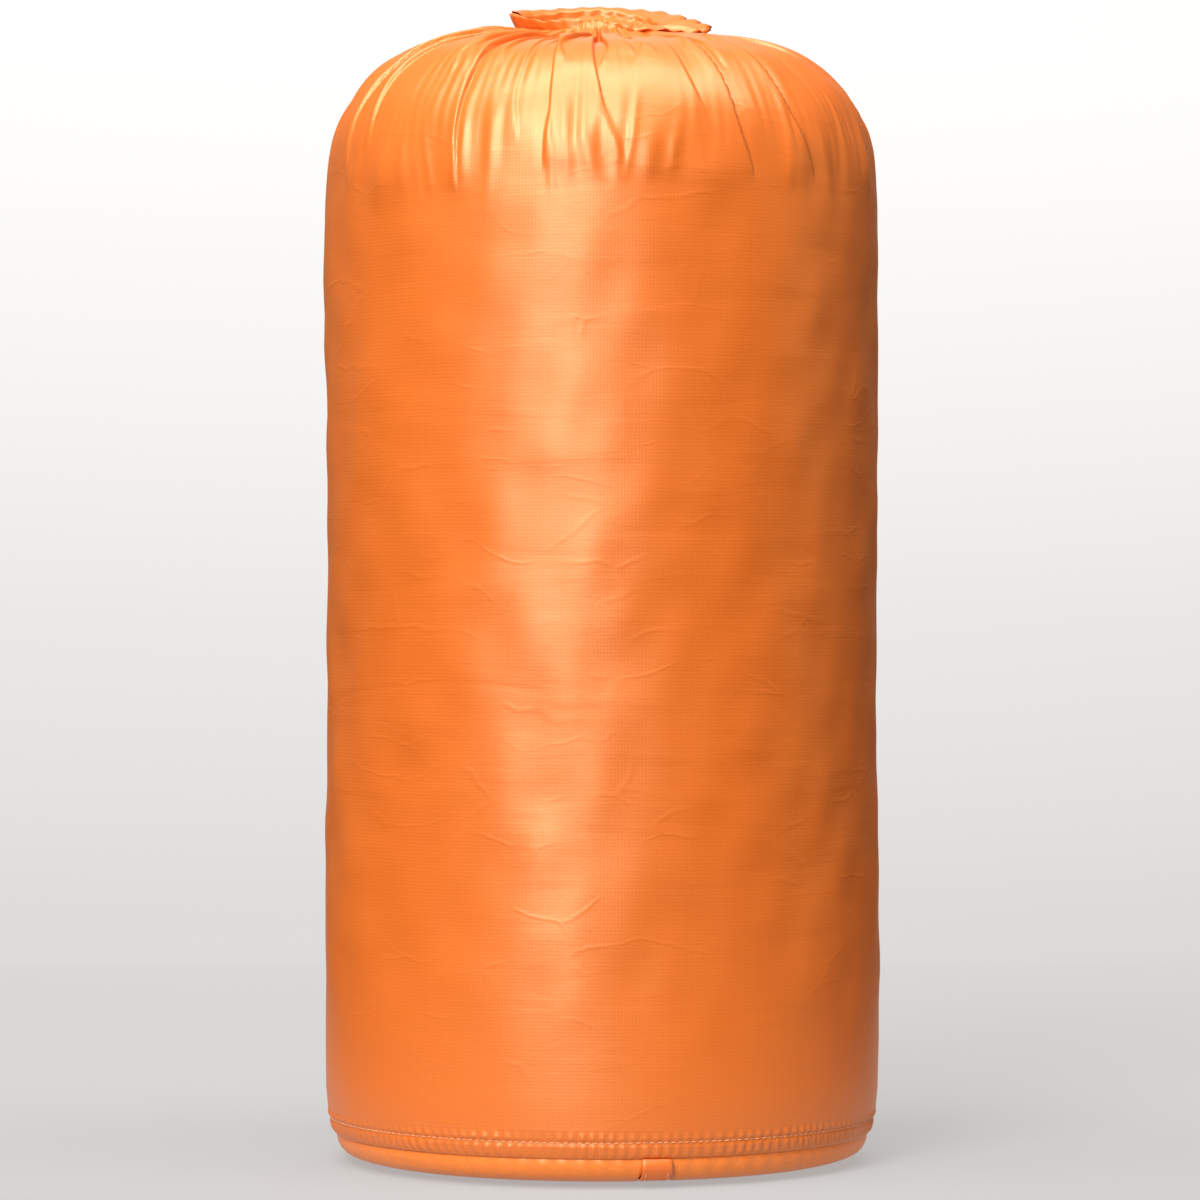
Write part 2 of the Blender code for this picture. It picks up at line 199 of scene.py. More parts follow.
# The side seam, in degrees from the front, the gap that the hem leaves there, and the cord's narrower gap.
SEAM_TURN = math.radians(-105.0)
SEAM_GAP = math.radians(14.0)
CORD_GAP = 0.6 * SEAM_GAP
SIDE_SEAM_WIDTH = 9.0 * MM
SIDE_SEAM_THICKNESS = 1.15 * MM
SIDE_SEAM_SUNK = 0.4 * MM
SIDE_SEAM_LOW = 21 * MM
SIDE_SEAM_HIGH = 401 * MM
SIDE_SEAM_ROWS = 380
SIDE_SEAM_COLUMNS = 23
SIDE_SEAM_PUCKER = 4.4 * MM
BARTACK_STITCHES = 9

# Colours, roughness and grid of the cloths and threads.
BODY_ORANGE = (0.69, 0.136, 0.011)
BASE_ORANGE = (0.90, 0.200, 0.018)
STRAP_ORANGE = (0.76, 0.130, 0.010)
INNER_ORANGE = (0.80, 0.14, 0.010)
THREAD_ORANGE = (0.93, 0.40, 0.17)
TAPE_BROWN = (0.32, 0.075, 0.016)
CORD_GREY = (0.08, 0.08, 0.085)
CLOTH_ROUGHNESS = 0.42
RIPSTOP_PITCH = 1.38 * MM
# Bumps in the cloth's surface: its grid of threads, level drag lines and thin creases.
GRID_BUMP = 0.06 * MM
DRAG_BUMP = 0.55 * MM
CREASE_BUMP = 0.065 * MM
# How closely the drag lines and the creases lie along each axis, and the creases' tilt, width, bends (how
# close and how big) and patches (how close, and between which noise values they fade in).
DRAG_PER_METRE = (14.0, 14.0, 75.0)
CREASES_PER_METRE = (21.0, 21.0, 52.0)
CREASE_TILT = (0.15, 0.25, 0.3)
CREASE_WIDTH = 0.062
CREASE_BENDS = 26.0
CREASE_BEND_SIZE = 0.024
CREASE_PATCHES = 34.0
CREASE_PATCH_EDGE = (0.46, 0.66)
# The coated cloth's gloss, and how dark it is between the threads of its grid.
CLOTH_IOR = 1.62
GLOSS_TINT = (1.0, 0.85, 0.52, 1)
BETWEEN_THREADS = 0.88

CAMERA_PLACE = (-0.0008, -2.07, 0.2303)
CAMERA_LENS = 149.6

# The lamps: one soft strip that arches from low at the front to a wide sheet over the top, in degrees up,
# degrees to the left, watts and metres of width.
LAMPS = [(5, 16, 14, 0.70), (31, 21, 36, 0.80), (56, 12, 12, 0.80), (80, 0, 58, 2.80)]
LAMP_DISTANCE = 2.1
LAMP_HEIGHT = 0.85
LAMP_TARGET = Vector((0, 0, 0.25))
# A weak warm lamp on the right.
SIDE_LAMP_TURN = math.radians(92)
SIDE_LAMP_RISE = 0.25
SIDE_LAMP_SIZE = (0.9, 1.2)
SIDE_LAMP_WATTS = 3.0
SIDE_LAMP_COLOUR = (1.0, 0.72, 0.4)
# The room's own light: its colour, and its strength on the left and on the right.
ROOM_COLOUR = (1.0, 0.78, 0.50, 1)
ROOM_LEFT = 0.46
ROOM_RIGHT = 0.25

# The stage, in metres: its sweep as (distance back, height), its half width at distances back, and its
# paleness and glow at distances along the sweep.
STAGE_SWEEP = [(-3.0, 0.0), (0.6, 0.0), (1.2, 0.02), (1.7, 0.18), (2.0, 0.5), (2.1, 1.0), (2.1, 4.0)]
STAGE_ROWS = 0.04
STAGE_HALF_WIDTH = [(0.0, 0.30), (2.1, 0.56)]
STAGE_PALE = [(2.70, 0.02), (2.84, 0.15)]
STAGE_GLOW = [
    (2.70, 0.0), (2.84, 0.37), (3.23, 0.43), (4.25, 0.54),
    (4.80, 0.64), (5.14, 0.77), (5.39, 0.86),
]


def smooth_line(points, spacing):
    """Points at an even spacing along a rounded line through the given ones."""
    points = np.array(points, float)
    padded = np.vstack((2 * points[0] - points[1], points, 2 * points[-1] - points[-2]))
    fine = []
    for k in range(len(points) - 1):
        a, b, c, d = padded[k:k + 4]
        t = np.linspace(0, 1, 60, endpoint=False)[:, None]
        square = 2 * a - 5 * b + 4 * c - d
        cube = 3 * b - a - 3 * c + d
        fine.append((2 * b + (c - a) * t + square * t ** 2 + cube * t ** 3) / 2)
    fine = np.vstack(fine + [points[-1:]])
    run = np.concatenate(([0], np.cumsum(np.linalg.norm(np.diff(fine, axis=0), axis=1))))
    count = max(int(round(run[-1] / spacing)), 2)
    even = np.linspace(0, run[-1], count + 1)
    return np.stack([np.interp(even, run, fine[:, k]) for k in range(fine.shape[1])], axis=1), even


def bell(x, width):
    return np.exp(-(x / width) ** 2)


def ramp(x, low, high):
    """0 below low, 1 above high, and smooth between."""
    t = np.clip((x - low) / (high - low), 0, 1)
    return t * t * (3 - 2 * t)


def wrap(angle):
    return (angle + math.pi) % (2 * math.pi) - math.pi


def all_round(count):
    """Evenly spaced angles from the back round to the back again."""
    return np.arange(count) * 2 * math.pi / count - math.pi


def grid_points(radius, angle, height):
    """Angles are from the front, positive to the right."""
    radius, angle, height = np.broadcast_arrays(radius, angle, height)
    return np.stack((radius * np.sin(angle), -radius * np.cos(angle), height), axis=-1)


def directions(turn):
    """The outward and the sideways direction at an angle from the front."""
    outward = np.array([math.sin(turn), -math.cos(turn), 0.0])
    sideways = np.array([math.cos(turn), math.sin(turn), 0.0])
    return outward, sideways


def ripples(angle, along, seed, size):
    """Smooth made-up unevenness between about -1 and 1, from a few waves in turned directions."""
    dice = np.random.default_rng(seed)
    total = np.zeros(np.broadcast(angle, along).shape)
    for _ in range(RIPPLE_WAVES):
        turns = dice.integers(-7, 8)
        rate = dice.normal(0, 1) / size
        total += np.sin(turns * angle + rate * along + dice.uniform(0, 2 * math.pi))
    return total / (RIPPLE_WAVES / 2)


def dents(table, turn, along):
    """The sum of a table's layers of soft dents."""
    total = 0
    for depth, finer, size, seed in table:
        total = total + depth * MM * ripples(finer * turn, along, seed, size * MM)
    return total


def link_mesh(name, mesh, material):
    """A smooth object of one material, in the scene."""
    mesh.polygons.foreach_set("use_smooth", np.ones(len(mesh.polygons), bool))
    mesh.materials.append(material)
    thing = bpy.data.objects.new(name, mesh)
    bpy.context.scene.collection.objects.link(thing)
    return thing


def add_grid(name, points, material, u=None, v=None, closed=True):
    """A sheet through a grid of points (rows, columns); u and v are its cloth coordinates in metres."""
    rows, columns = points.shape[:2]
    mesh = bpy.data.meshes.new(name)
    index = np.arange(rows * columns).reshape(rows, columns)
    right = np.roll(index, -1, axis=1) if closed else index[:, 1:]
    left = index if closed else index[:, :-1]
    faces = np.stack((left[:-1], right[:-1], right[1:], left[1:]), axis=-1).reshape(-1, 4)
    mesh.from_pydata(points.reshape(-1, 3).tolist(), [], faces.tolist())
    if u is not None:
        edge_u = np.append(u, 2 * u[-1] - u[-2]) if closed else u
        cell_u = np.stack((edge_u[:-1], edge_u[1:], edge_u[1:], edge_u[:-1]), axis=-1)
        cell_v = np.stack((v[:-1], v[:-1], v[1:], v[1:]), axis=-1)
        uv = np.zeros((rows - 1, len(edge_u) - 1, 4, 2))
        uv[..., 0] = cell_u[None, :, :]
        uv[..., 1] = cell_v[:, None, :]
        layer = mesh.uv_layers.new(name="cloth")
        layer.uv.foreach_set("vector", uv.ravel().astype(np.float32))
    return link_mesh(name, mesh, material)


def weld(thing):
    """Joins points that lie in one place, as at the middle of a round sheet."""
    mesh = bmesh.new()
    mesh.from_mesh(thing.data)
    bmesh.ops.remove_doubles(mesh, verts=mesh.verts, dist=0.01 * MM)
    mesh.to_mesh(thing.data)
    mesh.free()


# ---------------------------------------------------------------- materials

def fill_inputs(tree, node, inputs):
    """Sets a node's inputs by name, each to a value or to another node's output."""
    for name, value in inputs.items():
        if isinstance(value, bpy.types.NodeSocket):
            tree.links.new(value, node.inputs[name])
        else:
            node.inputs[name].default_value = value


def add_node(tree, kind, inputs=None, **settings):
    """Adds a node and gives its outputs."""
    node = tree.nodes.new(kind)
    for name, value in settings.items():
        setattr(node, name, value)
    fill_inputs(tree, node, inputs or {})
    return node.outputs


def calculate(tree, operation, *values):
    """One calculation on up to three values, each a number or another node's output."""
    node = tree.nodes.new("ShaderNodeMath")
    node.operation = operation
    for socket, value in zip(node.inputs, values):
        if isinstance(value, (int, float)):
            socket.default_value = value
        else:
            tree.links.new(value, socket)
    return node.outputs[0]


def noise(tree, where, scale, **more):
    return add_node(tree, "ShaderNodeTexNoise", {"Vector": where, "Scale": scale, **more})


def remap(tree, value, start, end, shape="LINEAR"):
    """Takes values between the pair start over to the pair end."""
    inputs = {"Value": value, "From Min": start[0], "From Max": start[1], "To Min": end[0], "To Max": end[1]}
    return add_node(tree, "ShaderNodeMapRange", inputs, interpolation_type=shape)[0]


def bump(tree, height, distance, **more):
    return add_node(tree, "ShaderNodeBump", {"Height": height, "Distance": distance, **more})[0]


def new_material(name, colour, roughness):
    material = bpy.data.materials.new(name)
    material.use_nodes = True
    tree = material.node_tree
    shader = tree.nodes["Principled BSDF"]
    fill_inputs(tree, shader, {"Base Color": (*colour, 1), "Roughness": roughness})
    return material, tree, shader


def shaded(colour, share):
    return (*[part * share for part in colour], 1)


def thread_grid(tree, where):
    """The ripstop's thicker threads: 1 along their square grid and 0 between them."""
    split = add_node(tree, "ShaderNodeSeparateXYZ", {"Vector": where})
    bars = []
    for axis in ("X", "Y"):
        turns = calculate(tree, "MULTIPLY", split[axis], 2 * math.pi / RIPSTOP_PITCH)
        wave = calculate(tree, "SINE", turns)
        bars.append(calculate(tree, "MULTIPLY_ADD", wave, 0.5, 0.5))
    return calculate(tree, "MAXIMUM", *bars)


def crease_lines(tree, where, normal):
    """Thin bent creases in patches, as cloth keeps them from having been stuffed and folded."""
    bend = noise(tree, where, CREASE_BENDS)
    bent = tree.nodes.new("ShaderNodeVectorMath")
    bent.operation = "MULTIPLY_ADD"
    tree.links.new(bend["Color"], bent.inputs[0])
    bent.inputs[1].default_value = (CREASE_BEND_SIZE,) * 3
    tree.links.new(where, bent.inputs[2])
    stretch = {"Vector": bent.outputs[0], "Scale": CREASES_PER_METRE, "Rotation": CREASE_TILT}
    level = add_node(tree, "ShaderNodeMapping", stretch)[0]
    spread = {"Vector": level, "Scale": 1.0}
    cells = add_node(tree, "ShaderNodeTexVoronoi", spread, feature="DISTANCE_TO_EDGE")
    line = remap(tree, cells["Distance"], (0.0, CREASE_WIDTH), (1.0, 0.0), "SMOOTHSTEP")
    patch = noise(tree, where, CREASE_PATCHES)
    share = remap(tree, patch["Fac"], CREASE_PATCH_EDGE, (0.0, 1.0), "SMOOTHSTEP")
    return bump(tree, calculate(tree, "MULTIPLY", line, share), CREASE_BUMP, Normal=normal)


def ripstop(name, colour, roughness, pattern="UV"):
    """Thin coated cloth: a fine grid of thicker threads over a plain weave, silky with a warm gloss."""
    material, tree, shader = new_material(name, colour, roughness)
    where = add_node(tree, "ShaderNodeTexCoord")
    grid = thread_grid(tree, where[pattern])
    tone = remap(tree, grid, (0.0, 1.0), (BETWEEN_THREADS, 1.0))
    toned = {"Factor": 1.0, "A": (*colour, 1), "B": tone}
    mix = add_node(tree, "ShaderNodeMix", toned, data_type="RGBA", blend_type="MULTIPLY")
    patches = noise(tree, where["Object"], 22.0, Detail=3.0)
    rough = remap(tree, patches["Fac"], (0.0, 1.0), (roughness - 0.05, roughness + 0.07))
    stretch = {"Vector": where["Object"], "Scale": DRAG_PER_METRE}
    level = add_node(tree, "ShaderNodeMapping", stretch)[0]
    drag = noise(tree, level, 1.0, Detail=4.0, Distortion=0.6)
    weave = bump(tree, grid, GRID_BUMP, Strength=0.35)
    dragged = bump(tree, drag["Fac"], DRAG_BUMP, Strength=0.5, Normal=weave)
    fill_inputs(tree, shader, {
        "Base Color": mix["Result"],
        "Roughness": rough,
        "Normal": crease_lines(tree, where["Object"], dragged),
        "IOR": CLOTH_IOR,
        "Specular IOR Level": 1.0,
        "Specular Tint": GLOSS_TINT,
    })
    return material


def twisted_thread(name, colour):
    """Spun thread with a fine twist."""
    material, tree, shader = new_material(name, colour, 0.45)
    where = add_node(tree, "ShaderNodeTexCoord")
    bands = {"Vector": where["Object"], "Scale": 900.0, "Distortion": 1.0}
    twist = add_node(tree, "ShaderNodeTexWave", bands, bands_direction="DIAGONAL")
    tones = {"Factor": twist["Fac"], "A": shaded(colour, 0.72), "B": (*colour, 1)}
    mix = add_node(tree, "ShaderNodeMix", tones, data_type="RGBA")
    fill_inputs(tree, shader, {
        "Base Color": mix["Result"],
        "Normal": bump(tree, twist["Fac"], 0.05 * MM),
        "Sheen Weight": 0.3,
    })
    return material


def woven(name, colour, pitch, roughness=0.75):
    """Plain woven tape or braid."""
    material, tree, shader = new_material(name, colour, roughness)
    where = add_node(tree, "ShaderNodeTexCoord")
    tones = {"Color1": shaded(colour, 0.75), "Color2": (*colour, 1)}
    checks = add_node(tree, "ShaderNodeTexChecker", {"Vector": where["Object"], "Scale": 1 / pitch, **tones})
    fill_inputs(tree, shader, {"Base Color": checks["Color"], "Normal": bump(tree, checks["Fac"], 0.08 * MM)})
    return material


# ---------------------------------------------------------------- the body's cloth

def body_profile():
    """The outline's points, the length run along it, and its outward directions."""
    fine, length = smooth_line(np.array(SIDE + DOME + NECK) * MM, 0.25 * MM)
    shoulder = np.interp(DOME_ROWS_START, fine[:, 1], length)
    side = np.linspace(0, shoulder, round(shoulder / SIDE_ROWS), endpoint=False)
    run = np.append(side, np.linspace(shoulder, length[-1], round((length[-1] - shoulder) / DOME_ROWS)))
    line = np.stack([np.interp(run, length, fine[:, k]) for k in (0, 1)], axis=1)
    along = np.gradient(line, run, axis=0)
    along /= np.linalg.norm(along, axis=1)[:, None]
    outward = np.stack((along[:, 1], -along[:, 0]), axis=1)
    return line, run, outward


def chance_pleat(dice, start, ranges):
    """One pleat that starts at a given angle, the rest drawn from its ranges of sway, height and rise."""
    sway, low, lift = ranges
    end = start + math.radians(dice.uniform(*sway))
    side = 1 if dice.random() > 0.5 else -1
    return start, end, dice.uniform(*low) * MM, dice.uniform(*lift) * MM, side


def all_pleats():
    """The front's pleats, then the back's, spread evenly with a little chance in each, then short folds."""
    dice = np.random.default_rng(7)
    pleats = [(math.radians(a), math.radians(b), h * MM, d * MM, s) for a, b, h, d, s in PLEATS]
    for k in range(BACK_PLEATS):
        start = math.radians(BACK_ARC_START + BACK_ARC * (k + 0.5) / BACK_PLEATS + dice.uniform(-4, 4))
        pleats.append(chance_pleat(dice, start, BACK_PLEAT_RANGES))
    for k in range(SHORT_FOLDS):
        start = 2 * math.pi * (k + dice.uniform(0.1, 0.9)) / SHORT_FOLDS - math.pi
        pleats.append(chance_pleat(dice, start, SHORT_FOLD_RANGES))
    return pleats


def pleat_shape(line, run, turn):
    """How far the pleats lift the cloth, and how far each rolled edge slips over its other side."""
    radius = line[:, :1]
    rise = np.zeros((len(line), turn.shape[1]))
    slip = np.zeros_like(rise)
    wide = PLEAT_WIDTH + PLEAT_WIDTH_GAIN * radius / RADIUS
    for number, (start, end, low, lift, side) in enumerate(all_pleats()):
        low_row = np.interp(low, line[:, 1], run)
        share = ((run[-1] - run) / (run[-1] - low_row))[:, None]
        bend = 0.8 * MM * np.sin(9.0 * share + number) + 1.2 * MM * np.sin(4.1 * share + 2.3 * number)
        hook = -side * PLEAT_HOOK * ramp(share, 0.8, 1.0)
        centre = start + (end - start) * share ** 1.3
        lap = side * (wrap(turn - centre) * radius + bend + hook)
        fade = np.clip(1 - share, 0, 1) ** 0.45 * ramp(share, -0.05, 0.3)
        under = 0.5 + 0.5 * np.tanh(lap / PLEAT_SHARPNESS)
        rise += lift * fade * (1 - under) * np.exp(-np.abs(lap) / wide)
        rise -= PLEAT_TUCK * lift * fade * under * np.exp(-2 * np.abs(lap) / wide)
        slip += side * PLEAT_LAP * lift * fade * (1 - under) * bell(lap, PLEAT_LAP_WIDTH)
    return rise - rise.mean(axis=1, keepdims=True), slip


def neck_gathers(turn, radius):
    """Even gathers close to the drawn mouth."""
    near_neck = (1 - ramp(radius, 28 * MM, 60 * MM)) * ramp(radius, 22.9 * MM, 27 * MM)
    uneven = GATHERS * turn + 1.6 * np.sin(5 * turn) + 0.7 * np.sin(11 * turn)
    return GATHER_DEPTH * near_neck * np.sin(uneven)


def front_hollow(turn, radius, height):
    """The depth of the hollow in front of the mouth."""
    ring = ramp(radius, 23 * MM, 40 * MM) * (1 - ramp(radius, 62 * MM, 104 * MM))
    return HOLLOW_DEPTH * ring * ramp(height, 430 * MM, 445 * MM) * bell(wrap(turn), HOLLOW_TURN)


def soft_folds(turn, radius, height):
    """Shallow upright waves below the front pleats, each with its own place, width and length."""
    dice = np.random.default_rng(17)
    fade = 14 * MM
    rise = 0
    for number in range(SOFT_FOLDS):
        if number % 3:
            middle = math.radians(dice.uniform(-44, 14))
        else:
            middle = math.radians(dice.choice([-1, 1]) * dice.uniform(38, 74))
        low = dice.uniform(382, 400) * MM
        high = dice.uniform(418, 440) * MM
        lean = math.radians(dice.uniform(-4, 4))
        depth = dice.uniform(0.25, 0.75) * MM
        width = dice.uniform(1.6, 4.2) * MM
        across = (wrap(turn - middle) - lean * (height - low) / (high - low)) * radius
        window = ramp(height, low, low + fade) * (1 - ramp(height, high - fade, high))
        rise = rise + depth * window * bell(across, width)
    return rise


def fine_streaks(turn, height):
    """The many fine upright wrinkles between the dome's pleats."""
    dice = np.random.default_rng(29)
    total = 0
    for _ in range(STREAKS):
        count = dice.integers(50, 150)
        total = total + np.sin(count * turn + dice.normal(0, 60) * height + dice.uniform(0, 2 * math.pi))
    strength = 0.6 + 0.6 * ripples(3 * turn, height, 30, 12 * MM)
    return 0.045 * MM * total * strength * ramp(height, 396 * MM, 425 * MM)


def body_shape(line, run, outward, angle):
    """The cloth as (rows, columns, 3): pleats and gathers on the dome, and soft dents down the side."""
    radius = line[:, :1]
    height = line[:, 1:]
    turn = angle[None, :]
    along = run[:, None]
    rise, slip = pleat_shape(line, run, turn)
    rise += neck_gathers(turn, radius)
    rise -= front_hollow(turn, radius, height)
    rise += soft_folds(turn, radius, height)
    rise += dents(SHOULDER_DENTS, turn, along) * bell(height - 402 * MM, 26 * MM)
    rise += dents(SIDE_DENTS, turn, along) * ramp(height, 30 * MM, 90 * MM)
    rise += fine_streaks(turn, height)
    r = radius + rise * outward[:, :1]
    z = height + rise * outward[:, 1:]
    return grid_points(r, turn + slip / radius, z)


def make_body(material):
    """The tube of cloth up to the neck; it also gives its length along the outline."""
    line, run, outward = body_profile()
    angle = all_round(BODY_AROUND)
    points = body_shape(line, run, outward, angle)
    body = add_grid("body_cloth", points, material, angle * RADIUS, run)
    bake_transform(body)
    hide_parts("body_panel")
    return body, run[-1]


def slanted(angle, height):
    """Fine slanting wrinkles on the right of the front, where the base pulls on its seam."""
    return bell(wrap(angle - SLANT_TURN), SLANT_SPREAD) * np.sin(260 * angle + 1.1 * height / MM)


def make_band(material):
    """The double band above the base seam, puckered by its topstitch, up to where the plain cloth starts."""
    line, run = smooth_line(np.array(BAND) * MM, BAND_ROWS)
    angle = all_round(BAND_AROUND)
    turn = angle[None, :]
    height = line[:, 1:]
    seam = line[0, 1]
    slant = 0.9 * (height - seam) / (6 * MM)
    wave = 0.5 + 0.5 * np.sin(PUCKERS * turn + slant + 1.1 * np.sin(7 * turn) + 0.8 * np.sin(23 * turn))
    uneven = 0.8 + 0.5 * ripples(3 * turn, height, 21, 8 * MM)
    full, fading, full_above, fading_above, gone = np.array(PUCKER_HEIGHTS) * MM
    between = ramp(height, seam + 0.4 * MM, full) * (1 - ramp(height, fading, TOPSTITCH_HEIGHT))
    above = ramp(height, TOPSTITCH_HEIGHT, full_above) * (1 - ramp(height, fading_above, gone))
    out = between * (PUCKER_DEPTH * wave * uneven + 0.1 * MM)
    out += above * UPPER_PUCKER_DEPTH * wave * uneven
    out -= 0.35 * MM * bell(height - TOPSTITCH_HEIGHT, 0.8 * MM)
    out += SLANT_DEPTH * slanted(turn, height) * between
    points = grid_points(line[:, :1] + out, turn, height)
    band = add_grid("base_seam_band", points, material, angle * RADIUS, run)
    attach(band, "sack")
    return band


def strap_groove(points):
    """How far the strap presses the base up, 1 being fully, at points on it."""
    across = points[..., 0] * math.cos(STRAP_TURN) + points[..., 1] * math.sin(STRAP_TURN)
    under_strap = (1 - ramp(across, 6.9 * MM, 8.6 * MM)) * (1 - ramp(-across, 5.0 * MM, 6.0 * MM))
    return under_strap * (1 - ramp(points[..., 2], 0.2 * MM, 6.4 * MM))


def make_base(material):
    """The round base: gathered a little into its seam, flat below, and pressed up along the strap."""
    line, run = smooth_line(np.array(BASE) * MM, BASE_ROWS)
    angle = all_round(BASE_AROUND)
    turn = angle[None, :]
    radius = line[:, :1]
    height = line[:, 1:]
    near_rim = ramp(radius, 97 * MM, 108 * MM) * (1 - ramp(height, 8.5 * MM, 10 * MM))
    phase = PUCKERS * 0.5 * turn + 1.8 * (radius - 100 * MM) / (10 * MM) + 1.3 * np.sin(6 * turn)
    wave = np.sin(phase) * (0.6 + 0.5 * ripples(turn, radius, 31, 12 * MM))
    out = BASE_PUCKER_DEPTH * near_rim * (wave + slanted(turn, height))
    points = grid_points(radius + out, turn, height)
    points[..., 2] += STRAP_ROOM * strap_groove(points)
    points[..., 2] = np.maximum(points[..., 2], 0.02 * MM)
    base = add_grid("base_cloth", points, material, angle * RADIUS, run)
    weld(base)
    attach(base, "sack")
    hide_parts("base_panel")
    return base


# ---------------------------------------------------------------- the mouth

def ruffle_edge(angle):
    """Radius and height of the ruffle's loose edge at angles from the front."""
    table = np.array(RUFFLE, float)
    turned = np.vstack((table[-3:] - [360, 0, 0], table, table[:4] + [360, 0, 0]))
    line, _ = smooth_line(turned, 0.5)
    degrees = np.degrees(wrap(angle))
    return np.interp(degrees, line[:, 0], line[:, 1]) * MM, np.interp(degrees, line[:, 0], line[:, 2]) * MM


def turns_past_gap(gap, count):
    """Angles from one side of a gap at the side seam round to its other side."""
    return SEAM_TURN + gap / 2 + np.linspace(0, 2 * math.pi - gap, count)


def ruffle_section(angle):
    """The folded hem's radius, height and share of the way out: out to its edge, back in, and closed."""
    turn = angle[None, :]
    edge_radius, edge_height = ruffle_edge(angle)
    foot_radius, foot_height = np.array(RUFFLE_FOOT) * MM
    inside_radius, inside_height = np.array(RUFFLE_INSIDE) * MM
    out = np.linspace(0, 1, 27)[:, None]
    back = out[::-1][1:]
    close = np.linspace(0, 1, 5)[1:, None]
    puff = RUFFLE_PUFF * np.sin(math.pi * out) ** 0.6
    cup = 1.4 + 2.8 * bell(wrap(turn - SEAM_TURN), math.radians(38))
    outer_r = foot_radius + (edge_radius - foot_radius) * out
    outer_z = foot_height + (edge_height - foot_height) * out ** cup - 0.3 * puff
    inner_r = inside_radius + (edge_radius - inside_radius) * back
    inner_z = inside_height + (edge_height - inside_height) * back ** cup + puff[::-1][1:]
    inner_z = inner_z + CORD_BULGE * bell(inner_r - CORD_PLACE[0] * MM, 2.2 * MM)
    behind = ramp(np.abs(wrap(turn)), math.radians(55), math.radians(95))
    start = np.interp(np.degrees(wrap(turn)), *zip(*ROLL))
    rolled = ROLLED_EDGE * behind * ramp(back, start, start + 0.06)
    inner_r = inner_r - rolled * (1 - 0.8 * ramp(back, 0.93, 1.0))
    inner_z = inner_z + 0.4 * rolled
    close_r = inside_radius + (foot_radius - inside_radius) * close + 0 * turn
    close_z = inside_height + (foot_height - 0.2 * MM - inside_height) * close + 0 * turn
    radius = np.vstack((outer_r, inner_r, close_r))
    height = np.vstack((outer_z, inner_z, close_z))
    reach = np.vstack((out, back, 0 * close))
    return radius, height, reach


def ruffle_folds(turn, reach):
    """How far gathers, flutter and creases move the hem outward and upward."""
    bunch = np.sin(GATHERS * turn + 1.5 * np.sin(4 * turn) + 0.8 * np.sin(9 * turn))
    flutter = 0.6 * np.sin(5 * turn + 1.4 * np.sin(3 * turn))
    flutter = flutter + 0.3 * np.sin(17 * turn + 2.6 * np.sin(4 * turn))
    creases = ripples(4 * turn, reach * 30 * MM, 41, 7 * MM)
    creases = creases * (1 + 2.4 * bell(wrap(turn - math.radians(100)), math.radians(50)))
    free = ramp(reach, 0.0, 0.3)
    outward = 0.6 * bunch * reach * (1 - reach) + 1.0 * flutter * reach ** 2 + 0.4 * creases * free
    upward = 0.8 * bunch * (1 - reach) * free + 0.5 * flutter * reach ** 2 + 0.35 * creases * free
    return outward * MM, upward * MM


def make_ruffle(material):
    """The folded hem, drawn into a ruffle, with a gap at the side seam where the cord comes out."""
    angle = turns_past_gap(SEAM_GAP, RUFFLE_AROUND)
    turn = angle[None, :]
    radius, height, reach = ruffle_section(angle)
    outward, upward = ruffle_folds(turn, reach)
    points = grid_points(radius + outward, turn, height + upward)
    along = np.concatenate(([0], np.cumsum(np.linalg.norm(np.diff(points.mean(axis=1), axis=0), axis=1))))
    ruffle = add_grid("drawcord_ruffle", points, material, angle * RADIUS, along, closed=False)
    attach(ruffle, "mouth")
    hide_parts("drawcord_hem")
    return ruffle


def make_cord(material):
    """The drawcord in its channel; its rounded ends show in the hem's gap."""
    angle = turns_past_gap(CORD_GAP, CORD_STEPS)[:, None]
    turns = np.linspace(0, 2 * math.pi, CORD_SIDES + 1)[:-1]
    steps_to_end = np.minimum(np.arange(CORD_STEPS), np.arange(CORD_STEPS)[::-1])
    thick = CORD_RADIUS * np.clip(steps_to_end / 2 + 0.3, 0, 1)[:, None]
    middle_radius, middle_height = np.array(CORD_PLACE) * MM
    points = grid_points(middle_radius + thick * np.cos(turns), angle, middle_height + thick * np.sin(turns))
    cord = add_grid("drawcord_in_channel", points, material, turns * CORD_RADIUS, angle[:, 0] * middle_radius)
    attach(cord, "mouth")
    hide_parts("drawcord")


# ---------------------------------------------------------------- seams and threads

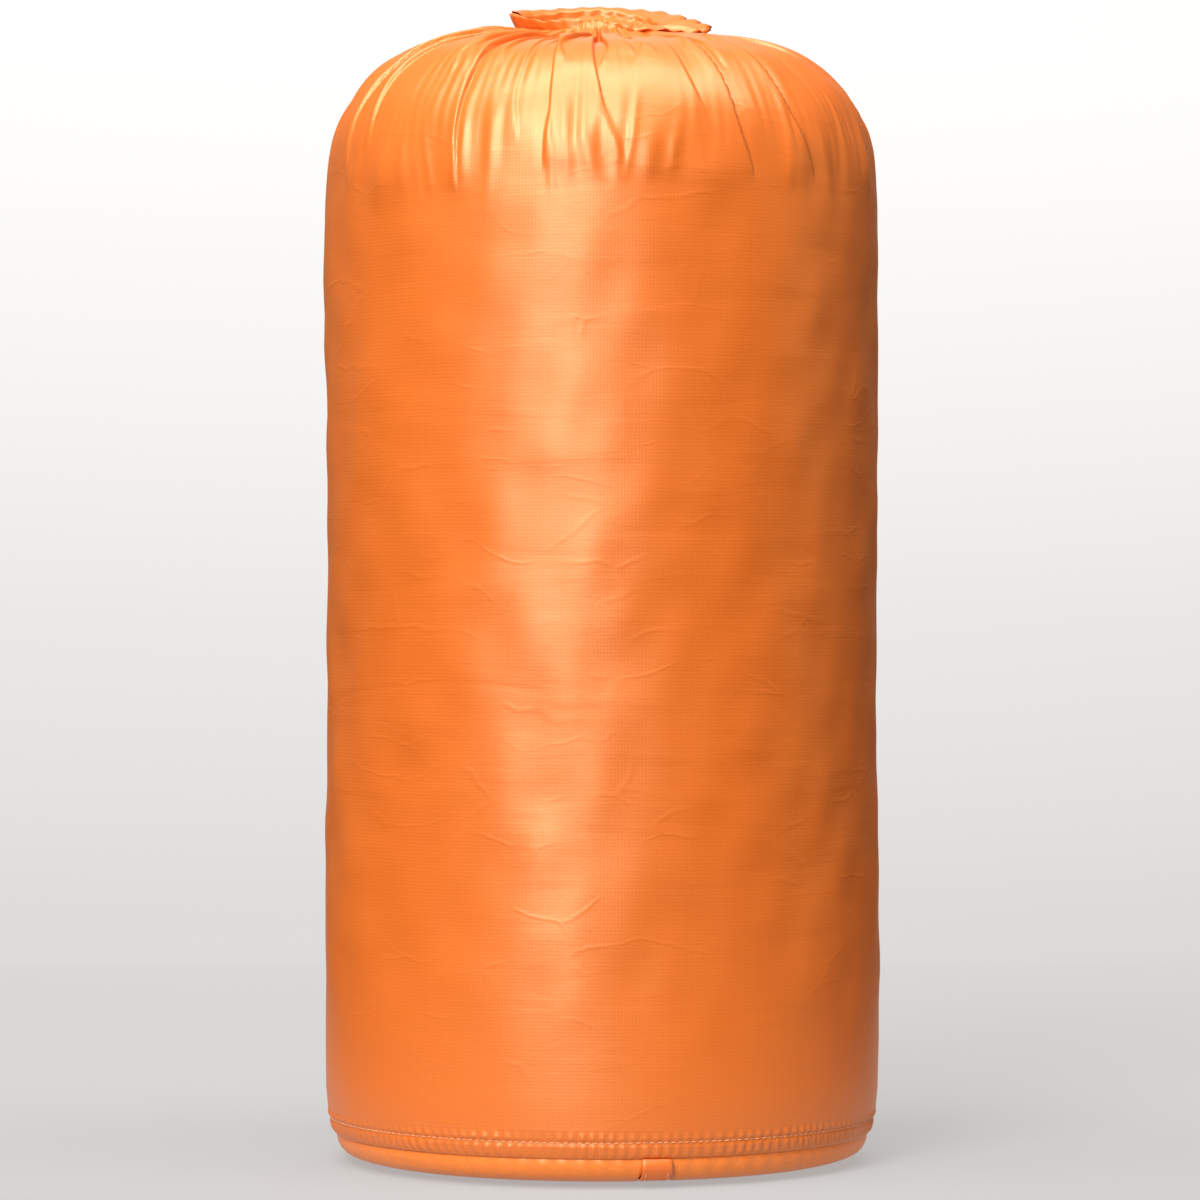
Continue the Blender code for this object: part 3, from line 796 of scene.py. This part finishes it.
def add_stitches(name, places, material, *nodes):
    """Short rounded stitches; places are (middle, direction along the row, direction out of the cloth)."""
    turns = np.arange(THREAD_SIDES) * 2 * math.pi / THREAD_SIDES
    vertices = []
    faces = []
    for middle, along, out in places:
        middle, along, out = (np.array(part, float) for part in (middle, along, out))
        along /= np.linalg.norm(along)
        out -= along * np.dot(out, along)
        out /= np.linalg.norm(out)
        side = np.cross(along, out)
        first = len(vertices)
        for step, width, dip in STITCH_RINGS:
            centre = middle + along * step * STITCH_LENGTH - out * dip * THREAD_RADIUS * 1.2
            for turn in turns:
                spoke = side * math.cos(turn) + out * math.sin(turn)
                vertices.append(tuple(centre + spoke * width * THREAD_RADIUS))
        for ring in range(len(STITCH_RINGS) - 1):
            for k in range(THREAD_SIDES):
                a = first + ring * THREAD_SIDES + k
                b = first + ring * THREAD_SIDES + (k + 1) % THREAD_SIDES
                faces.append((a, b, b + THREAD_SIDES, a + THREAD_SIDES))
        last = first + (len(STITCH_RINGS) - 1) * THREAD_SIDES
        faces.append(tuple(first + k for k in range(THREAD_SIDES))[::-1])
        faces.append(tuple(last + k for k in range(THREAD_SIDES)))
    mesh = bpy.data.meshes.new(name)
    mesh.from_pydata(vertices, [], faces)
    thing = link_mesh(name, mesh, material)
    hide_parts(*nodes)
    return thing


def make_mouth_stitches(thread):
    """The row that closes the cord's channel, and a bartack on each side of the hem's gap."""
    foot_radius, foot_height = RUFFLE_FOOT
    radius = (foot_radius + 0.35) * MM
    height = (foot_height + 0.35) * MM
    places = []
    for turn in turns_past_gap(SEAM_GAP, int(2 * math.pi * radius / STITCH_PITCH)):
        outward, sideways = directions(turn)
        places.append((outward * radius + UP * height, sideways, outward + 0.3 * UP))
    row = add_stitches("channel_row", places, thread, "hem_stitch")
    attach(row, "mouth")
    for name, side in (("left", -1), ("right", 1)):
        places = []
        for k in range(BARTACK_STITCHES):
            odd = k % 2
            turn = SEAM_TURN + side * (SEAM_GAP / 2 + math.radians(2.2 + 0.9 * odd))
            outward, sideways = directions(turn)
            middle = outward * (foot_radius + 1.0 + 0.8 * k) * MM + UP * (foot_height + 0.5 + 0.45 * k) * MM
            places.append((middle, sideways + 0.2 * odd * UP, 0.3 * outward - UP))
        tack = add_stitches(f"cord_exit_tack_{name}", places, thread, f"cord_exit_bartack_{name}")
        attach(tack, "mouth")


def side_radius(height):
    line = np.array(BAND + SIDE) * MM
    return np.interp(height, line[:, 1], line[:, 0])


def make_side_seam(material):
    """A fold of cloth down the side where the tube closes, a little puckered by its stitching."""
    heights = np.linspace(SIDE_SEAM_LOW, SIDE_SEAM_HIGH, SIDE_SEAM_ROWS)
    across = np.linspace(-1, 1, SIDE_SEAM_COLUMNS)
    radius = side_radius(heights)[:, None] + 0.1 * MM
    thick = SIDE_SEAM_THICKNESS * np.clip(1 - np.abs(across) ** 8, 0, 1) ** 0.5
    held = bell(np.abs(across) - 0.66, 0.13)
    wave = np.sin(2 * math.pi * heights[:, None] / SIDE_SEAM_PUCKER + 2.0 * np.sin(heights[:, None] * 90))
    lift = thick[None, :] * (1 + 0.16 * wave * (1 - held[None, :])) - 0.35 * MM * held[None, :]
    end = np.clip(np.minimum(heights - heights[0], heights[-1] - heights) / (0.9 * MM), 0, 1)[:, None]
    turn = SEAM_TURN + across[None, :] * SIDE_SEAM_WIDTH / 2 / radius
    surface = radius - SIDE_SEAM_SUNK + (lift + SIDE_SEAM_SUNK) * end
    points = grid_points(surface, turn, heights[:, None])
    width = across * SIDE_SEAM_WIDTH / 2
    seam = add_grid("side_seam_fold_cloth", points, material, width, heights, closed=False)
    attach(seam, "sack")
    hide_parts("side_seam_fold")
    return seam


def make_topstitch(thread):
    """The row all round, just above the base seam; each stitch leans a little."""
    count = int(2 * math.pi * TOPSTITCH_RADIUS / STITCH_PITCH)
    places = []
    for k in range(count):
        outward, sideways = directions(2 * math.pi * k / count)
        middle = outward * TOPSTITCH_RADIUS + UP * TOPSTITCH_HEIGHT
        places.append((middle, sideways + 0.06 * UP, outward))
    row = add_stitches("base_topstitch_row", places, thread, "base_topstitch")
    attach(row, "sack")


def make_side_seam_rows(thread):
    """The two upright rows that hold the side seam's fold."""
    for name, side in (("left", -1), ("right", 1)):
        places = []
        for height in np.arange(SIDE_SEAM_LOW + 3 * MM, SIDE_SEAM_HIGH - 3 * MM, STITCH_PITCH):
            radius = side_radius(height) + 1.0 * MM
            outward, _ = directions(SEAM_TURN - side * SIDE_SEAM_WIDTH / 3 / radius)
            places.append((outward * radius + UP * height, (0.05, 0.0, 1.0), outward))
        row = add_stitches(f"side_seam_row_{name}", places, thread, f"side_seam_stitch_{name}")
        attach(row, "sack")


# ---------------------------------------------------------------- the grab strap

def lying_along(forward, run, aside, height):
    """Points at a run along the strap's level direction, a distance to its side, and a height."""
    side = np.array([forward[1], -forward[0]])
    run, aside, height = np.broadcast_arrays(run, aside, height)
    return np.stack((forward[0] * run + side[0] * aside, forward[1] * run + side[1] * aside, height), axis=-1)


def strap_surface(forward, line, run, out):
    """The rounded, slightly rippled skin of one half of the strap."""
    turns = np.linspace(0, 2 * math.pi, STRAP_SIDES + 1)[:-1]
    across = STRAP_WIDTH / 2 * np.sign(np.sin(turns)) * np.abs(np.sin(turns)) ** 0.28
    depth = STRAP_WALL / 2 * (1 + np.sign(np.cos(turns)) * np.abs(np.cos(turns)) ** 0.5)
    wave = 0.12 * MM * np.sin(run * 2 * math.pi / (7 * MM))[:, None] * np.cos(turns * 2)[None, :]
    flat = line[:, None, :] + out[:, None, :] * (depth[None, :, None] + wave[..., None])
    points = lying_along(forward, flat[..., 0], across[None, :], np.maximum(flat[..., 1], 0.03 * MM))
    return points, turns * STRAP_WIDTH / 3


def strap_row_places(forward, off, line, run, along):
    """Stitches on the strap's outer face, a distance to the side of its middle line."""
    places = []
    for place in np.arange(STRAP_STITCH_START, run[-1], STITCH_PITCH):
        at = np.array([np.interp(place, run, line[:, k]) for k in (0, 1)])
        way = np.array([np.interp(place, run, along[:, k]) for k in (0, 1)])
        away = np.array([-way[1], way[0]])
        at = at + away * STRAP_WALL
        middle = lying_along(forward, at[0], off, at[1])
        direction = lying_along(forward, way[0], 0.0, way[1])
        normal = lying_along(forward, away[0], 0.0, away[1])
        places.append((middle, direction, normal))
    return places


def make_strap(material, thread):
    """Two halves that meet under the middle of the base."""
    line, run = smooth_line(np.array(STRAP_LINE) * MM, STRAP_ROWS)
    along = np.gradient(line, axis=0)
    along /= np.linalg.norm(along, axis=1)[:, None]
    out = np.stack((-along[:, 1], along[:, 0]), axis=1)
    for name, sign in (("front", 1), ("back", -1)):
        forward = np.array([math.sin(STRAP_TURN), -math.cos(STRAP_TURN)]) * sign
        points, around = strap_surface(forward, line, run, out)
        strap = add_grid(f"grab_strap_{name}", points, material, around, run)
        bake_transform(strap)
        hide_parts("grab_strap")
        for edge, edge_name in ((-1, "left"), (1, "right")):
            off = edge * sign * (STRAP_WIDTH / 2 - STRAP_STITCH_INSET)
            places = strap_row_places(forward, off, line, run, along)
            row = add_stitches(f"strap_row_{name}_{edge_name}", places, thread, f"strap_stitch_{edge_name}")
            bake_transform(row)


def dress_cad(thread):
    """Materials for the pieces whose CAD shape is right: the ones inside the sack and the strap's bartacks.
    """
    tape = woven("binding_weave", TAPE_BROWN, 0.7 * MM)
    inner = ripstop("seam_ripstop", INNER_ORANGE, 0.5, "Object")
    looks = {
        "base_seam_allowance": inner, "base_seam_binding": tape, "base_seam_thread": thread,
        "binding_stitch": thread, "strap_bartack_front": thread, "strap_bartack_back": thread,
    }
    for name, material in looks.items():
        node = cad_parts[name]
        node.data.materials.clear()
        node.data.materials.append(material)


# ---------------------------------------------------------------- stage

def make_camera():
    lens = bpy.data.cameras.new("camera")
    lens.lens = CAMERA_LENS
    lens.sensor_width = 36.0
    camera = bpy.data.objects.new("camera", lens)
    camera.location = CAMERA_PLACE
    camera.rotation_euler = (math.radians(90), 0, 0)
    bpy.context.scene.collection.objects.link(camera)
    bpy.context.scene.camera = camera


def make_light(name, place, target, size, power, colour=(1, 1, 1)):
    lamp = bpy.data.lights.new(name, "AREA")
    lamp.shape = "RECTANGLE"
    lamp.size, lamp.size_y = size
    lamp.energy = power
    lamp.color = colour
    light = bpy.data.objects.new(name, lamp)
    light.location = place
    light.rotation_euler = (Vector(target) - Vector(place)).to_track_quat("-Z", "Y").to_euler()
    bpy.context.scene.collection.objects.link(light)


def make_stage():
    """A pale floor that sweeps up into a backdrop, and glows a little more the higher it goes."""
    line, run = smooth_line(STAGE_SWEEP, STAGE_ROWS)
    half_width = np.interp(line[:, 0], *zip(*STAGE_HALF_WIDTH))
    points = np.zeros((len(line), 2, 3))
    points[..., 0] = half_width[:, None] * np.array([-1, 1])[None, :]
    points[..., 1] = line[:, :1]
    points[..., 2] = line[:, 1:]
    material, tree, shader = new_material("backdrop", (0.15, 0.15, 0.15), 0.9)
    fill_inputs(tree, shader, {
        "Emission Color": (1, 1, 1, 1),
        "Emission Strength": add_node(tree, "ShaderNodeAttribute", attribute_name="glow")["Fac"],
        "Base Color": add_node(tree, "ShaderNodeAttribute", attribute_name="pale")["Fac"],
        "Specular IOR Level": 0.0,
    })
    stage = add_grid("stage_floor", points, material, closed=False)
    for name, table in (("glow", STAGE_GLOW), ("pale", STAGE_PALE)):
        values = np.repeat(np.interp(run, *zip(*table)), 2)
        stage.data.attributes.new(name, "FLOAT", "POINT").data.foreach_set("value", values.astype(np.float32))


def light_room():
    """Warm light from above the floor all round, stronger from the left than from the right."""
    world = bpy.data.worlds.new("studio")
    bpy.context.scene.world = world
    world.use_nodes = True
    tree = world.node_tree
    where = add_node(tree, "ShaderNodeTexCoord")
    way = add_node(tree, "ShaderNodeSeparateXYZ", {"Vector": where["Generated"]})
    shade = remap(tree, way["X"], (-1.0, 1.0), (ROOM_LEFT, ROOM_RIGHT))
    above = remap(tree, way["Z"], (-0.15, 0.10), (0.0, 1.0))
    strength = calculate(tree, "MULTIPLY", shade, above)
    fill_inputs(tree, tree.nodes["Background"], {"Strength": strength, "Color": ROOM_COLOUR})


def light_scene():
    """The room's light, soft lamps that arch over the sack from the front, and a weak lamp on the right."""
    light_room()
    for number, (height, turn, power, width) in enumerate(LAMPS):
        up = math.radians(height)
        left = math.radians(turn)
        way = Vector((-math.sin(left) * math.cos(up), -math.cos(left) * math.cos(up), math.sin(up)))
        place = LAMP_TARGET + LAMP_DISTANCE * way
        make_light(f"lamp_{number}", place, LAMP_TARGET, (width, LAMP_HEIGHT), power)
    way = Vector((math.sin(SIDE_LAMP_TURN), -math.cos(SIDE_LAMP_TURN), SIDE_LAMP_RISE))
    place = LAMP_TARGET + LAMP_DISTANCE * way
    make_light("side_lamp", place, LAMP_TARGET, SIDE_LAMP_SIZE, SIDE_LAMP_WATTS, SIDE_LAMP_COLOUR)
    bpy.context.scene.view_settings.view_transform = "Standard"


def main():
    make_camera()
    make_stage()
    light_scene()
    cloth = ripstop("body_ripstop", BODY_ORANGE, CLOTH_ROUGHNESS)
    base_cloth = ripstop("base_ripstop", BASE_ORANGE, CLOTH_ROUGHNESS, "Object")
    strap_cloth = ripstop("strap_ripstop", STRAP_ORANGE, CLOTH_ROUGHNESS)
    thread = twisted_thread("orange_thread", THREAD_ORANGE)
    body, length = make_body(cloth)
    band = make_band(cloth)
    base = make_base(base_cloth)
    ruffle = make_ruffle(cloth)
    seam = make_side_seam(cloth)
    make_cord(woven("cord_braid", CORD_GREY, 0.9 * MM, 0.6))
    make_mouth_stitches(thread)
    make_topstitch(thread)
    make_side_seam_rows(thread)
    make_strap(strap_cloth, thread)
    dress_cad(thread)


main()
